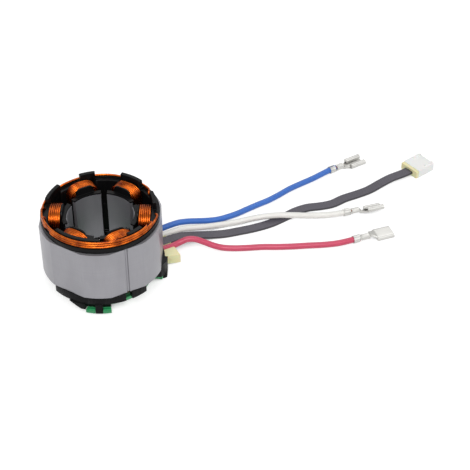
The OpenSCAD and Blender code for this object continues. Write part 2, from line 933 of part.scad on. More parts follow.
stator_core();
top_insulator();
bottom_insulator();
coil(0);  // coil_1
coil(1);  // coil_2
coil(2);  // coil_3
coil(3);  // coil_4
coil(4);  // coil_5
coil(5);  // coil_6
crossover(0);  // crossover_wire_1
crossover(1);  // crossover_wire_2
crossover(2);  // crossover_wire_3
crossover(3);  // crossover_wire_4
sensor_board();
hall_sensors();
board_parts();
ribbon_header();
phase_tab(across_blue);  // phase_tab_blue
phase_tab(across_white);  // phase_tab_white
phase_tab(across_red);  // phase_tab_red
lead_clamp();
lead_blue();
lead_white();
lead_red();
sensor_ribbon();
receptacle(place_blue, grip_up, 0, false);  // receptacle_blue
receptacle(place_white, tilted_up, tilt_white, false);  // receptacle_white
receptacle(place_red, grip_up, 0, true);  // receptacle_red
sensor_plug();
plug_contacts();
plug_retainer();
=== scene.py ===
"""Wound stator with its leads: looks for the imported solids, in the same frame, in metres."""
import json
import math
import random

import bmesh
import bpy
import numpy as np
from mathutils import Matrix, Vector


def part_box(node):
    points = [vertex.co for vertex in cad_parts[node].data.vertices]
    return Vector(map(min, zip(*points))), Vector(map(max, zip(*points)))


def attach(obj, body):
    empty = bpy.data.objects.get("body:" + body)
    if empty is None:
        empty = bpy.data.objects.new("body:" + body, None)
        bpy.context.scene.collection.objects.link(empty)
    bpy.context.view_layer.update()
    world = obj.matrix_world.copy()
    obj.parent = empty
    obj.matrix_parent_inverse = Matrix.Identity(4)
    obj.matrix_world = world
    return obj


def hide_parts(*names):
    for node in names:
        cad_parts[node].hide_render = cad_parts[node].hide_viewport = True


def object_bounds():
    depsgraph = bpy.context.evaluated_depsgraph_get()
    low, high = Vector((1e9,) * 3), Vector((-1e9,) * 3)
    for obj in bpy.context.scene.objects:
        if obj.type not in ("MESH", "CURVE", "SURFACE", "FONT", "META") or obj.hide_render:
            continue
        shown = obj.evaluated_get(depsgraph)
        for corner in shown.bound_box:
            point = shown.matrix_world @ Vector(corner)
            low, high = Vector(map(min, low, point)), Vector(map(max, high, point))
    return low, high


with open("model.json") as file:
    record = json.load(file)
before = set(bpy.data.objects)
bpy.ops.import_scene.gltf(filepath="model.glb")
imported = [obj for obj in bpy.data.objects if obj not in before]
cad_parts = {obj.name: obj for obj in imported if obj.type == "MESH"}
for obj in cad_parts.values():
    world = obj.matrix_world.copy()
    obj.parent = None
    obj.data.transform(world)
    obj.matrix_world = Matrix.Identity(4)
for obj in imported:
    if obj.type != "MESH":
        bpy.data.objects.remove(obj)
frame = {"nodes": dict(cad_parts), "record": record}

cad_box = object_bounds()
nodes = frame["nodes"]

# Sizes are millimetres, and become metres where a mesh or curve is made. The stage's sizes are metres.
MM = 0.001
REST_Z = cad_box[0].z / MM
STACK_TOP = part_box("stator_core")[1].z / MM
BODY = "root"


# Camera: direction in degrees, distance from the bore's middle and offset of the picture's middle
CAMERA_AZIMUTH = 1.6
CAMERA_ELEVATION = 39.8
CAMERA_ROLL = -0.19
CAMERA_DISTANCE = 617
CAMERA_RIGHT = 58.06
CAMERA_UP = 0.757
CAMERA_LENS = 108.05
CAMERA_CLIP = (10, 20000)


def linked(name, data):
    """A new object with this data, in the scene."""
    obj = bpy.data.objects.new(name, data)
    bpy.context.scene.collection.objects.link(obj)
    return obj


def make_camera():
    """The photograph's camera."""
    azimuth, elevation, roll = (math.radians(a) for a in (CAMERA_AZIMUTH, CAMERA_ELEVATION, CAMERA_ROLL))
    back = Vector((
        math.sin(azimuth) * math.cos(elevation),
        -math.cos(azimuth) * math.cos(elevation),
        math.sin(elevation),
    ))
    level = Vector((math.cos(azimuth), math.sin(azimuth), 0))
    upright = back.cross(level)
    right = level * math.cos(roll) + upright * math.sin(roll)
    up = upright * math.cos(roll) - level * math.sin(roll)
    data = bpy.data.cameras.new("camera")
    data.lens = CAMERA_LENS
    data.clip_start, data.clip_end = (c * MM for c in CAMERA_CLIP)
    camera = linked("camera", data)
    turn = Matrix((right, up, back)).transposed().to_4x4()
    place = (back * CAMERA_DISTANCE + right * CAMERA_RIGHT + up * CAMERA_UP) * MM
    camera.matrix_world = Matrix.Translation(place) @ turn
    bpy.context.scene.camera = camera


# Materials

def srgb(red, green, blue):
    """A colour given in display bytes, as the linear values of a shader socket."""
    def one(c):
        c = c / 255
        return c / 12.92 if c < 0.04045 else ((c + 0.055) / 1.055) ** 2.4
    return one(red), one(green), one(blue), 1.0


def scaled(colour, factor):
    """A lighter or darker version of a linear colour."""
    return tuple(min(1.0, c * factor) for c in colour[:3]) + (1.0,)


class Shader:
    """A material with short calls for the nodes that its surface needs."""

    def __init__(self, name, **sockets):
        self.material = bpy.data.materials.new(name)
        self.material.use_nodes = True
        self.tree = self.material.node_tree
        self.surface = self.tree.nodes["Principled BSDF"]
        self.place = self.add("ShaderNodeTexCoord").outputs["Object"]
        for socket, value in sockets.items():
            self.surface.inputs[socket.replace("_", " ")].default_value = value

    def add(self, kind, **settings):
        """A new node with these settings."""
        node = self.tree.nodes.new(kind)
        for key, value in settings.items():
            setattr(node, key, value)
        return node

    def link(self, source, target):
        self.tree.links.new(source, target)

    def math(self, operation, first, second=0.0):
        """The result of an operation on values that are numbers or other nodes' outputs."""
        node = self.add("ShaderNodeMath", operation=operation)
        for socket, value in zip(node.inputs, (first, second)):
            if isinstance(value, (int, float)):
                socket.default_value = value
            else:
                self.link(value, socket)
        return node.outputs[0]

    def axis(self, which, vector=None):
        """One coordinate of a vector, or of the place on the object."""
        split = self.add("ShaderNodeSeparateXYZ")
        self.link(vector or self.place, split.inputs[0])
        return split.outputs[which]

    def noise(self, size, stretch=(1, 1, 1), detail=3.0):
        """Noise whose grains are about size millimetres wide, stretched along the axes."""
        mapping = self.add("ShaderNodeMapping")
        mapping.inputs["Scale"].default_value = [1 / (size * MM * s) for s in stretch]
        self.link(self.place, mapping.inputs["Vector"])
        noise = self.add("ShaderNodeTexNoise")
        noise.inputs["Scale"].default_value = 1.0
        noise.inputs["Detail"].default_value = detail
        self.link(mapping.outputs[0], noise.inputs["Vector"])
        return noise.outputs["Fac"]

    def span(self, value, low, high, start=0.0, end=1.0):
        """Maps a value from start and end to low and high."""
        node = self.add("ShaderNodeMapRange")
        self.link(value, node.inputs["Value"])
        for key, number in (("From Min", start), ("From Max", end), ("To Min", low), ("To Max", high)):
            node.inputs[key].default_value = number
        return node.outputs[0]

    def mix(self, share, first, second):
        """A blend of two colours, each a colour or another node's output."""
        node = self.add("ShaderNodeMix", data_type="RGBA")
        self.link(share, node.inputs["Factor"])
        for key, value in (("A", first), ("B", second)):
            socket = next(s for s in node.inputs if s.name == key and s.type == "RGBA")
            if isinstance(value, tuple):
                socket.default_value = value
            else:
                self.link(value, socket)
        return next(s for s in node.outputs if s.type == "RGBA")

    def bump(self, height, depth, strength):
        """Relief of the given depth in millimetres."""
        node = self.add("ShaderNodeBump")
        node.inputs["Distance"].default_value = depth * MM
        node.inputs["Strength"].default_value = strength
        self.link(height, node.inputs["Height"])
        self.link(node.outputs[0], self.surface.inputs["Normal"])

    def colour(self, output):
        self.link(output, self.surface.inputs["Base Color"])

    def roughness(self, output):
        self.link(output, self.surface.inputs["Roughness"])


CLOUD_RATIO = 6


def plain(name, colour, rough, grain, contrast=0.12, relief=0.02, **sockets):
    """A moulded or drawn surface: slight clouds in colour, and fine changes of gloss and relief."""
    shader = Shader(name, **sockets)
    cloud = shader.noise(grain * CLOUD_RATIO)
    fine = shader.noise(grain)
    shader.colour(shader.mix(cloud, scaled(colour, 1 - contrast), scaled(colour, 1 + contrast)))
    shader.roughness(shader.span(fine, *rough))
    shader.bump(fine, relief, 0.5)
    return shader.material


# Thickness of a sheet, pitch of the board's tracks and depth of light in nylon
LAMINATION = 0.5
TRACK_PITCH = 1.7
SOFT_DEPTH = 2


def steel_material():
    """Punched laminations: faint joints, a tint for each sheet and upright shear marks."""
    shader = Shader("lamination_steel", Metallic=0.6)
    level = shader.math("DIVIDE", shader.axis(2), LAMINATION * MM)
    sheet = shader.add("ShaderNodeTexWhiteNoise", noise_dimensions="1D")
    shader.link(shader.math("FLOOR", level), sheet.inputs["W"])
    offset = shader.math("ABSOLUTE", shader.math("SUBTRACT", shader.math("FRACT", level), 0.5))
    joint = shader.span(offset, 0.0, 1.0, 0.4, 0.5)
    normal = shader.add("ShaderNodeNewGeometry").outputs["Normal"]
    upright = shader.span(shader.math("ABSOLUTE", shader.axis(2, normal)), 1.0, 0.0, 0.3, 0.7)
    joint = shader.math("MULTIPLY", joint, upright)
    shear = shader.noise(0.5, (1, 1, 14))
    cloud = shader.noise(9.0, (1, 1, 3))
    grey = srgb(158, 157, 162)
    tint = shader.mix(sheet.outputs["Value"], scaled(grey, 0.98), scaled(grey, 1.02))
    clouded = shader.mix(shader.span(cloud, 0.0, 0.8, 0.3, 0.8), tint, scaled(grey, 0.82))
    marked = shader.mix(shader.span(shear, 0.0, 0.3, 0.3, 0.8), clouded, scaled(grey, 0.85))
    shader.colour(shader.mix(shader.math("MULTIPLY", joint, 0.14), marked, scaled(grey, 0.4)))
    shader.roughness(shader.span(shear, 0.31, 0.45))
    raised = shader.math("MULTIPLY", shear, 0.25)
    sunk = shader.math("MULTIPLY", joint, 0.4)
    shader.bump(shader.math("SUBTRACT", raised, sunk), 0.03, 0.4)
    return shader.material


def copper_material():
    """Enamelled wire: warm metal under a clear coat, with darker and paler stretches."""
    shader = Shader("copper_enamel", Metallic=1.0, Coat_Weight=0.12, Coat_Roughness=0.12)
    cloud = shader.noise(4.0, detail=4.0)
    fine = shader.noise(0.8)
    shader.colour(shader.mix(shader.span(cloud, 0.0, 1.0, 0.3, 0.7), srgb(106, 34, 6), srgb(216, 107, 28)))
    shader.roughness(shader.span(fine, 0.2, 0.32))
    shader.bump(fine, 0.01, 0.4)
    return shader.material


def board_material():
    """Green solder mask with paler bands over the copper tracks."""
    shader = Shader("board_green")
    fine = shader.noise(0.8)
    across = shader.math("MULTIPLY", shader.axis(0), shader.axis(0))
    along = shader.math("MULTIPLY", shader.axis(1), shader.axis(1))
    radius = shader.math("SQRT", shader.math("ADD", across, along))
    band = shader.math("FRACT", shader.math("DIVIDE", radius, TRACK_PITCH * MM))
    track = shader.span(shader.math("ABSOLUTE", shader.math("SUBTRACT", band, 0.5)), 1.0, 0.0, 0.2, 0.24)
    shader.colour(shader.mix(track, srgb(36, 138, 82), srgb(68, 174, 110)))
    shader.roughness(shader.span(fine, 0.25, 0.4))
    shader.bump(shader.math("ADD", track, shader.math("MULTIPLY", fine, 0.3)), 0.03, 0.6)
    return shader.material


def ribbon_material():
    """Flat cable: painted highlight on the ridges over the cores, and painted shade in the grooves, along
    the edges and underneath.
    """
    shader = Shader("ribbon_grey")
    cloud = shader.noise(14.0)
    fine = shader.noise(1.0)
    # Painted shade and highlight: a share on each point that is dark in the grooves, at the edges and
    # underneath, and pale on the ridges
    painted_shade_and_highlight = shader.add("ShaderNodeAttribute", attribute_name="painted_shade_and_highlight").outputs["Fac"]
    grey = srgb(77, 74, 83)
    ridge = shader.mix(cloud, scaled(grey, 0.9), scaled(grey, 1.45))
    shader.colour(shader.mix(painted_shade_and_highlight, scaled(grey, 0.4), ridge))
    shader.roughness(shader.span(fine, 0.38, 0.52))
    shader.bump(fine, 0.015, 0.5)
    return shader.material


# Looks of the surfaces that need no more than clouds and relief
PLAIN = {
    "black_nylon": dict(colour=srgb(11, 11, 12), rough=(0.3, 0.42), grain=0.7, contrast=0.2, relief=0.015,
                        Specular_IOR_Level=0.12),
    "chip_black": dict(colour=srgb(32, 32, 34), rough=(0.4, 0.55), grain=0.4),
    "chip_tan": dict(colour=srgb(176, 142, 104), rough=(0.4, 0.5), grain=0.5),
    "tin_plate": dict(colour=srgb(202, 201, 197), rough=(0.24, 0.38), grain=1.2, contrast=0.1, relief=0.012,
                      Metallic=0.62),
    "cream_nylon": dict(colour=srgb(238, 231, 181), rough=(0.35, 0.5), grain=1.0, contrast=0.08,
                        Subsurface_Weight=0.15, Subsurface_Scale=SOFT_DEPTH * MM),
    "white_nylon": dict(colour=srgb(241, 241, 239), rough=(0.25, 0.38), grain=1.5, contrast=0.04,
                        Subsurface_Weight=0.1, Subsurface_Scale=SOFT_DEPTH * MM),
    "blue_insulation": dict(colour=srgb(54, 108, 194), rough=(0.3, 0.42), grain=1.5, contrast=0.1),
    "white_insulation": dict(colour=srgb(236, 235, 230), rough=(0.3, 0.42), grain=1.5, contrast=0.05),
    "red_insulation": dict(colour=srgb(203, 70, 100), rough=(0.3, 0.42), grain=1.5, contrast=0.1),
}

# One material for each of the record's slots
materials = {
    "lamination_steel": steel_material(),
    "copper_enamel": copper_material(),
    "board_green": board_material(),
    "ribbon_grey": ribbon_material(),
}
materials.update((name, plain(name, **look)) for name, look in PLAIN.items())
slot_of = {part["node"]: part["material_slot"] for part in frame["record"]["subparts"]}


# Pieces

def finish_piece(obj, slot, replaced=()):
    """Gives a piece its material and body, and hides the solids that it stands for."""
    obj.data.materials.clear()
    obj.data.materials.append(materials[slot])
    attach(obj, BODY)
    if replaced:
        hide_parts(*replaced)
    return obj


def mesh_piece(name, points, faces, slot, replaced=()):
    """A piece from points in millimetres and faces."""
    mesh = bpy.data.meshes.new(name)
    mesh.from_pydata([[c * MM for c in p] for p in points], [], faces)
    mesh.validate()
    mesh.shade_smooth()
    return finish_piece(linked(name, mesh), slot, replaced)


def between(t, start, end, a, b):
    """The place at t on the line that is at a at start and at b at end."""
    return (end - t) / (end - start) * a + (t - start) / (end - start) * b


def smooth_line(points, step):
    """A smooth line through the points (centripetal spline), with places about step apart."""
    p = [np.asarray(q, float) for q in points]
    p = [2 * p[0] - p[1]] + p + [2 * p[-1] - p[-2]]
    line = []
    for a, b, c, d in zip(p, p[1:], p[2:], p[3:]):
        t0 = 0.0
        t1 = t0 + math.sqrt(np.linalg.norm(b - a))
        t2 = t1 + math.sqrt(np.linalg.norm(c - b))
        t3 = t2 + math.sqrt(np.linalg.norm(d - c))
        count = max(2, round(np.linalg.norm(c - b) / step))
        for t in np.linspace(t1, t2, count, endpoint=False):
            e = between(t, t0, t1, a, b)
            f = between(t, t1, t2, b, c)
            g = between(t, t2, t3, c, d)
            h = between(t, t0, t2, e, f)
            k = between(t, t1, t3, f, g)
            line.append(between(t, t1, t2, h, k))
    line.append(p[-2])
    return np.array(line)


def tangents(line):
    """Unit directions along a line."""
    t = np.gradient(np.asarray(line, float), axis=0)
    return t / np.linalg.norm(t, axis=1)[:, None]


def ring_faces(rows, n):
    """Faces between neighbouring closed rings of n points each."""
    return [
        (i * n + k, i * n + (k + 1) % n, (i + 1) * n + (k + 1) % n, (i + 1) * n + k)
        for i in range(rows - 1) for k in range(n)
    ]


def tube_faces(rows, n):
    """Faces of a tube of rings, with both ends closed."""
    caps = [tuple(range(n - 1, -1, -1)), tuple((rows - 1) * n + k for k in range(n))]
    return ring_faces(rows, n) + caps


STEEP_SIDE = 0.2


def swept(line, ring):
    """Points and faces of a closed tube along a line, with a ring given in the line's two cross axes."""
    line = np.asarray(line, float)
    along = tangents(line)
    side = np.cross([0.0, 0.0, 1.0], along[0])
    if np.linalg.norm(side) < STEEP_SIDE:
        side = np.cross([1.0, 0.0, 0.0], along[0])
    points = []
    for place, t in zip(line, along):
        side = side - np.dot(side, t) * t
        side = side / np.linalg.norm(side)
        up = np.cross(t, side)
        points.extend(place + a * side + b * up for a, b in ring)
    return points, tube_faces(len(line), len(ring))


def circle(radius, sides):
    """Places round a circle."""
    return [
        (radius * math.cos(2 * math.pi * k / sides), radius * math.sin(2 * math.pi * k / sides))
        for k in range(sides)
    ]


def joined(*parts):
    """Several lists of points and faces as one."""
    points, faces = [], []
    for p, f in parts:
        start = len(points)
        points.extend(p)
        faces.extend(tuple(i + start for i in face) for face in f)
    return points, faces


def around_z(points, degrees):
    """Points turned about the bore's axis."""
    c, s = math.cos(math.radians(degrees)), math.sin(math.radians(degrees))
    return [(x * c - y * s, x * s + y * c, z) for x, y, z in points]


def polar_line(places, step):
    """A smooth line through places given as angle about the bore's axis, radius and height."""
    return smooth_line([around_z([(r, 0, z)], a)[0] for a, r, z in places], step)


def wire_piece(name, line, diameter, sides, slot, replaced=()):
    """A round wire along a line."""
    points, faces = swept(line, circle(diameter / 2, sides))
    mesh_piece(name, points, faces, slot, replaced)


EDGE_W = 0.12
CLAMP_EDGE_W = 0.2
EDGE_SEGMENTS = 2
EDGE_ANGLE = math.radians(30)
MERGE_GAP = 0.001


def softened(name, node, width=EDGE_W):
    """A copy of a solid's mesh with its sharp edges rounded off by the given width."""
    mesh = nodes[node].data.copy()
    mesh.name = name
    bm = bmesh.new()
    bm.from_mesh(mesh)
    bmesh.ops.remove_doubles(bm, verts=bm.verts, dist=MERGE_GAP * MM)
    bm.to_mesh(mesh)
    bm.free()
    mesh.shade_smooth()
    mesh.set_sharp_from_angle(angle=EDGE_ANGLE)
    obj = linked(name, mesh)
    round_off = obj.modifiers.new("edges", "BEVEL")
    round_off.width = width * MM
    round_off.segments = EDGE_SEGMENTS
    round_off.limit_method = "ANGLE"
    round_off.angle_limit = EDGE_ANGLE
    round_off.use_clamp_overlap = False
    round_off.harden_normals = True
    return finish_piece(obj, slot_of[node], [node])


# Cords

LEAD_D = 2.8
LEAD_STEP = 1.2
LEAD_ROUNDNESS = 5
OUTLET_ANGLE = 29
OUTLET_INNER_R = 25
OUTLET_CLEAR = 0.1
CLAMP_REACH = 33.2
LEAD_UP = 4.6
TAB_W = 3
RIBBON_W = 5.2
RIBBON_T = 1.3
RIBBON_CORES = 6
RIBBON_STEP = 1.0
CORE_STEPS = 6
RIBBON_EDGE_BEND = (112, 134, 156)
# Darkness of the painted shade in the ribbon's grooves, as a share of the way to its painted highlight
GROOVE_PAINTED_SHADE = 0.25
GRIP_R = 1.85
GRIP_L = 3.4
CURL_R = 1.2
BOX_W = 7.4
WHITE_TILT = -30
PLUG_H = 4.2
PLUG_ENTRY_L = 2.5

# Offset of each cord across the outlet, its terminal's x, y and heading, and the route between them as
# x, y and height above the surface that the stator stands on
ACROSS = {"blue": 12.4, "white": 8, "red": -1, "ribbon": 3.5}
PLACE = {
    "blue": (102, 77, 33),
    "white": (107.6, 42.8, 20),
    "red": (111.5, 24.6, 21.5),
    "ribbon": (140.6, 77.2, 40),
}
ROUTE = {
    "blue": [
        (26.5, 28.6, 5.1), (31, 30.7, 5.4), (35.5, 32.5, 4.8), (40, 34.2, 3.7), (44.5, 36.1, 2.5),
        (49, 38, 1.7), (53.5, 40.4, 1.4), (58, 43, 1.4), (62.5, 46.3, 1.4), (67.5, 49.9, 1.4),
        (72.5, 53.3, 1.4), (77.5, 57.6, 1.4), (82.5, 62.3, 1.4), (88, 66.5, 1.4), (93.5, 70.5, 1.4),
        (98, 74, 1.6),
    ],
    "white": [
        (29.4, 25, 4.9), (33.7, 26.9, 5), (38, 28.6, 4.2), (44, 31.4, 2.7), (51, 34.4, 1.6),
        (57.5, 36.5, 1.4), (64, 38, 2.2), (71, 39.2, 3), (77.5, 40.1, 3.1), (84.5, 40.4, 3),
        (91, 41.5, 2), (98.5, 42.5, 1.6), (103.5, 42.3, 2.4),
    ],
    "red": [
        (32.6, 16.9, 5.2), (36, 18, 6.2), (39.5, 18.4, 5.9), (43.5, 18.3, 4.4), (48, 18, 2.6),
        (52, 17.9, 1.6), (57, 17.8, 1.4), (63, 18.2, 1.4), (70, 19, 1.4), (77, 19.2, 1.4),
        (84, 19.7, 1.4), (91, 20.5, 1.4), (98, 21.2, 1.4), (104, 22.2, 1.5), (108, 23.3, 1.7),
    ],
    "ribbon": [
        (31, 21, 4.7), (35, 22.8, 4.2), (40.7, 25.2, 2.7), (46.5, 27.3, 1.3), (52.5, 28.8, 0.75),
        (60, 31.1, 0.75), (67, 33.6, 0.75), (73.5, 36.8, 0.75), (80, 41.5, 0.75), (85.5, 46, 0.75),
        (91, 48.9, 0.75), (97, 50.2, 0.75), (102.5, 52, 0.75), (108.5, 56.3, 0.75), (114.5, 59.5, 0.75),
        (120.5, 63.1, 0.8), (126.5, 68.2, 1), (131.5, 71.8, 1.5), (135.5, 73.8, 1.9),
    ],
}


def outlet_point(reach, across):
    """The place at a reach out through the outlet and an offset across it."""
    a = math.radians(OUTLET_ANGLE)
    return reach * math.cos(a) - across * math.sin(a), reach * math.sin(a) + across * math.cos(a)


def ahead(place, length):
    """The place that lies a length ahead of a terminal's place, along its heading."""
    a = math.radians(place[2])
    return place[0] + length * math.cos(a), place[1] + length * math.sin(a)


def tilt_of(name):
    """Tilt of a receptacle about its own length; the white one lies on its edge."""
    return math.radians(WHITE_TILT if name == "white" else 0)


def grip_up(name):
    """Height of a receptacle's crimp above the surface."""
    tilt = tilt_of(name)
    return CURL_R + (BOX_W / 2 - CURL_R) * abs(math.sin(tilt)) + (GRIP_R - CURL_R) * math.cos(tilt)


def route(name):
    """A cord's whole route, from inside the outlet to its terminal."""
    across = ACROSS[name]
    flat = name == "ribbon"
    half = (RIBBON_W if flat else TAB_W) / 2
    start = math.sqrt(OUTLET_INNER_R ** 2 - (abs(across) + half) ** 2) - OUTLET_CLEAR
    height = PLUG_H / 2 if flat else grip_up(name)
    ends = (-PLUG_ENTRY_L, 0) if flat else (0, GRIP_L)
    points = [(*outlet_point(reach, across), LEAD_UP) for reach in (start, CLAMP_REACH)]
    points += ROUTE[name]
    points += [(*ahead(PLACE[name], length), height) for length in ends]
    return [(x, y, REST_Z + z) for x, y, z in points]


def lead_curve(name):
    """A phase lead as a bevelled curve along its route."""
    line = smooth_line(route(name), LEAD_STEP) * MM
    data = bpy.data.curves.new("lead_%s_line" % name, "CURVE")
    data.dimensions = "3D"
    data.bevel_depth = LEAD_D / 2 * MM
    data.bevel_resolution = LEAD_ROUNDNESS
    data.use_fill_caps = True
    spline = data.splines.new("POLY")
    spline.points.add(len(line) - 1)
    for point, place in zip(spline.points, line):
        point.co = (*place, 1)
    spline.use_smooth = True
    obj = linked("lead_%s_wire" % name, data)
    return finish_piece(obj, slot_of["lead_" + name], ["lead_" + name]), line


def ribbon_section():
    """Outline of the flat cable: a row of round cores that run into each other."""
    r = RIBBON_T / 2
    pitch = (RIBBON_W - RIBBON_T) / (RIBBON_CORES - 1)
    reach = math.degrees(math.asin(pitch / 2 / r))
    outline = []
    for side in (1, -1):
        for k in range(RIBBON_CORES):
            x = side * (k - (RIBBON_CORES - 1) / 2) * pitch
            start = 0 if k == 0 else -reach
            end = 90 if k == RIBBON_CORES - 1 else reach
            for a in np.radians(np.linspace(start, end, CORE_STEPS)[:-1]):
                outline.append((x + side * r * math.sin(a), -side * r * math.cos(a)))
        outline.append((side * RIBBON_W / 2, 0))
        outline.extend(
            (x + side * r * math.sin(a), -side * r * math.cos(a)) for a in np.radians(RIBBON_EDGE_BEND)
        )
    return outline


def ribbon_tube():
    """The sensor ribbon as a ribbed tube, level across its width."""
    line = smooth_line(route("ribbon"), RIBBON_STEP)
    section = ribbon_section()
    points = []
    for place, t in zip(line, tangents(line)):
        side = np.cross([0.0, 0.0, 1.0], t)
        side = side / np.linalg.norm(side)
        up = np.cross(t, side)
        points.extend(place + a * side + b * up for a, b in section)
    faces = tube_faces(len(line), len(section))
    cable = mesh_piece("sensor_ribbon_cable", points, faces, "ribbon_grey", ["sensor_ribbon"])
    # Painted shade in the grooves, at the edges and underneath, and painted highlight on the ridges, stored
    # as a share on each point
    heights = np.array([b for a, b in section])
    groove = min(b for a, b in section if b > 0 and abs(a) < RIBBON_W / 2 - RIBBON_T)
    rise = (heights - groove) / (RIBBON_T / 2 - groove)
    painted_shade_and_highlight = np.tile(np.clip(GROOVE_PAINTED_SHADE + (1 - GROOVE_PAINTED_SHADE) * rise, 0, 1), len(line))
    cable.data.attributes.new("painted_shade_and_highlight", "FLOAT", "POINT").data.foreach_set("value", painted_shade_and_highlight)
    return cable, line * MM


# Receptacles: one strip of sheet, formed along its length, on a bundle of strands

SHEET_T = 0.34
SHEET_ANGLE = math.radians(50)
STRIP_POINTS = 61
GRIP_POINTS = 40
NECK_X = 8.2
NECK_BEND = 0.2
BOX_X = 11.2
BOX_END = 19.2
STRAND_D = 0.52
STRAND_SIDES = 8
STRAND_STEP = 0.6
STRAND_END = 8.3
STRAND_STAGGER = 0.12


def arc(y, z, radius, start, end, count):
    """Places on an arc in the plane across the strip."""
    return [
        (y + radius * math.cos(a), z + radius * math.sin(a))
        for a in np.radians(np.linspace(start, end, count))
    ]


def mirrored(half):
    """A strip's whole cross-line, from its half with positive y that starts at the middle."""
    return [(-y, z) for y, z in reversed(half)] + half[1:]


def grip_shape(radius, reach):
    """Sheet curled round the lead, by reach degrees to each side of its lowest place."""
    return arc(0, 0, radius, -90 - reach, -90 + reach, GRIP_POINTS)


def barrel_shape(size):
    """Two wings rolled over and pressed into the strands."""
    wing = arc(0.45, -0.5, 0.66, -70, 0, 8) + arc(0.56, 0.38, 0.52, 10, 172, 14)
    half = [(0, -1.12)] + wing + [(0.05, -0.05)]
    return mirrored([(y * size, z * size) for y, z in half])


def neck_shape(half_w, flange):
    """Flat base with an upright flange along both edges."""
    base = SHEET_T / 2 - GRIP_R
    bend = [(half_w - NECK_BEND, base), (half_w, base + NECK_BEND)]
    return mirrored([(0, base)] + bend + [(half_w, base + flange)])


def box_shape(spread):
    """Flat base with both edges rolled up, over and down towards the base."""
    base = SHEET_T / 2 - GRIP_R
    radius = CURL_R - SHEET_T / 2
    middle = BOX_W / 2 - CURL_R
    half = [(0, base), (middle / 2, base)] + arc(middle, base + radius, radius, -90, 200, 30)
    return mirrored([(y * spread, z) for y, z in half])


def evenly(line, count):
    """The line with the given number of evenly spaced places."""
    line = np.asarray(line, float)
    far = np.concatenate([[0], np.cumsum(np.linalg.norm(np.diff(line, axis=0), axis=1))])
    share = np.linspace(0, far[-1], count)
    return np.stack([np.interp(share, far, line[:, i]) for i in range(2)], axis=1)


def strip_stations():
    """Cross-lines of the strip at places along it, from the insulation grip to the mouth."""
    return [
        (0.0, grip_shape(1.7, 166)), (0.35, grip_shape(1.62, 170)), (2.5, grip_shape(1.62, 170)),
        (2.9, grip_shape(1.64, 164)), (3.15, grip_shape(1.62, 82)), (3.7, grip_shape(1.45, 80)),
        (3.95, grip_shape(1.36, 120)), (4.1, barrel_shape(1.06)), (4.5, barrel_shape(1.0)),
        (7.4, barrel_shape(1.0)), (7.8, barrel_shape(1.06)), (7.95, grip_shape(1.36, 118)),
        (8.15, neck_shape(1.3, 1.2)), (8.9, neck_shape(1.3, 1.1)), (9.8, neck_shape(1.75, 0.8)),
        (10.7, neck_shape(2.6, 0.55)), (BOX_X - 0.1, neck_shape(2.9, 0.5)), (BOX_X, box_shape(0.99)),
        (BOX_X + 0.4, box_shape(1.0)), (14.6, box_shape(1.0)), (15.0, box_shape(0.985)),
        (15.4, box_shape(1.0)), (BOX_END - 0.5, box_shape(1.0)), (BOX_END, box_shape(1.03)),
    ]


def strip_mesh(over):
    """Points and faces of the formed strip; if it is turned over, its box is lowered to the surface."""
    rings = []
    for x, line in strip_stations():
        line = evenly(line, STRIP_POINTS)
        along = np.gradient(line, axis=0)
        along = along / np.linalg.norm(along, axis=1)[:, None]
        normal = np.stack([-along[:, 1], along[:, 0]], axis=1) * SHEET_T / 2
        ring = np.concatenate([line - normal, (line + normal)[::-1]])
        if over:
            drop = 2 * (GRIP_R - CURL_R) * min(1, max(0, (x - NECK_X) / (BOX_X - NECK_X)))
            ring = ring * (1, -1) - (0, drop)
        rings.append([(x, y, z) for y, z in ring])
    n = len(rings[0])
    points = [p for ring in rings for p in ring]
    faces = ring_faces(len(rings), n)
    half = n // 2
    for first in (0, (len(rings) - 1) * n):
        faces += [(first + k, first + k + 1, first + n - 2 - k, first + n - 1 - k) for k in range(half - 1)]
    return points, faces


def strand_mesh():
    """Six strands round a seventh, from the lead's end to just beyond the barrel."""
    places = [(0, 0)] + circle(STRAND_D, 6)
    parts = []
    for k, (y, z) in enumerate(places):
        end = STRAND_END + STRAND_STAGGER * (k % 3)
        line = [(2.4, y, z - 0.1), (5.0, y * 0.9, z * 0.8 - 0.25), (end, y, z * 0.9 - 0.3)]
        parts.append(swept(smooth_line(line, STRAND_STEP), circle(STRAND_D / 2, STRAND_SIDES)))
    return joined(*parts)


def placed(points, name):
    """Points of a receptacle, moved from its own axes to its place."""
    x0, y0, heading = PLACE[name]
    tilt = tilt_of(name)
    up = REST_Z + grip_up(name)
    turned = [
        (x, y * math.cos(tilt) - z * math.sin(tilt), y * math.sin(tilt) + z * math.cos(tilt))
        for x, y, z in points
    ]
    return [(x0 + x, y0 + y, max(up + z, REST_Z)) for x, y, z in around_z(turned, heading)]


def make_receptacle(name):
    """A lead's receptacle and the strands in its crimp."""
    points, faces = strip_mesh(over=name == "red")
    strip = mesh_piece("receptacle_%s_strip" % name, placed(points, name), faces, "tin_plate",
                       ["receptacle_" + name])
    strip.data.set_sharp_from_angle(angle=SHEET_ANGLE)
    points, faces = strand_mesh()
    strands = mesh_piece("receptacle_%s_strands" % name, placed(points, name), faces, "copper_enamel")
    return [strip, strands]


make_camera()
for colour in ("blue", "white", "red"):
    wire, line = lead_curve(colour)
    make_receptacle(colour)

plug = [softened("sensor_plug_body", "sensor_plug"), softened("plug_retainer_strip", "plug_retainer")]
ribbon, line = ribbon_tube()


# Coils: separate turns of wire round each tooth

TEETH = 6
WIRE_D = 0.92
WIRE_PITCH = 0.85
TURNS = 6
LAYERS = 3
COIL_R0 = 16.8
WINDOW_HALF_W = 4.3
WINDOW_HALF_H = 13.25
BEND_R = 2.6
TURN_STEPS = 44
TURN_SHIFT = 0.14
TURN_DRIFT = 0.03
TURN_BULGE = 0.025
TURN_WAVES = 3
WIRE_SIDES = 8
COIL_SEED = 7


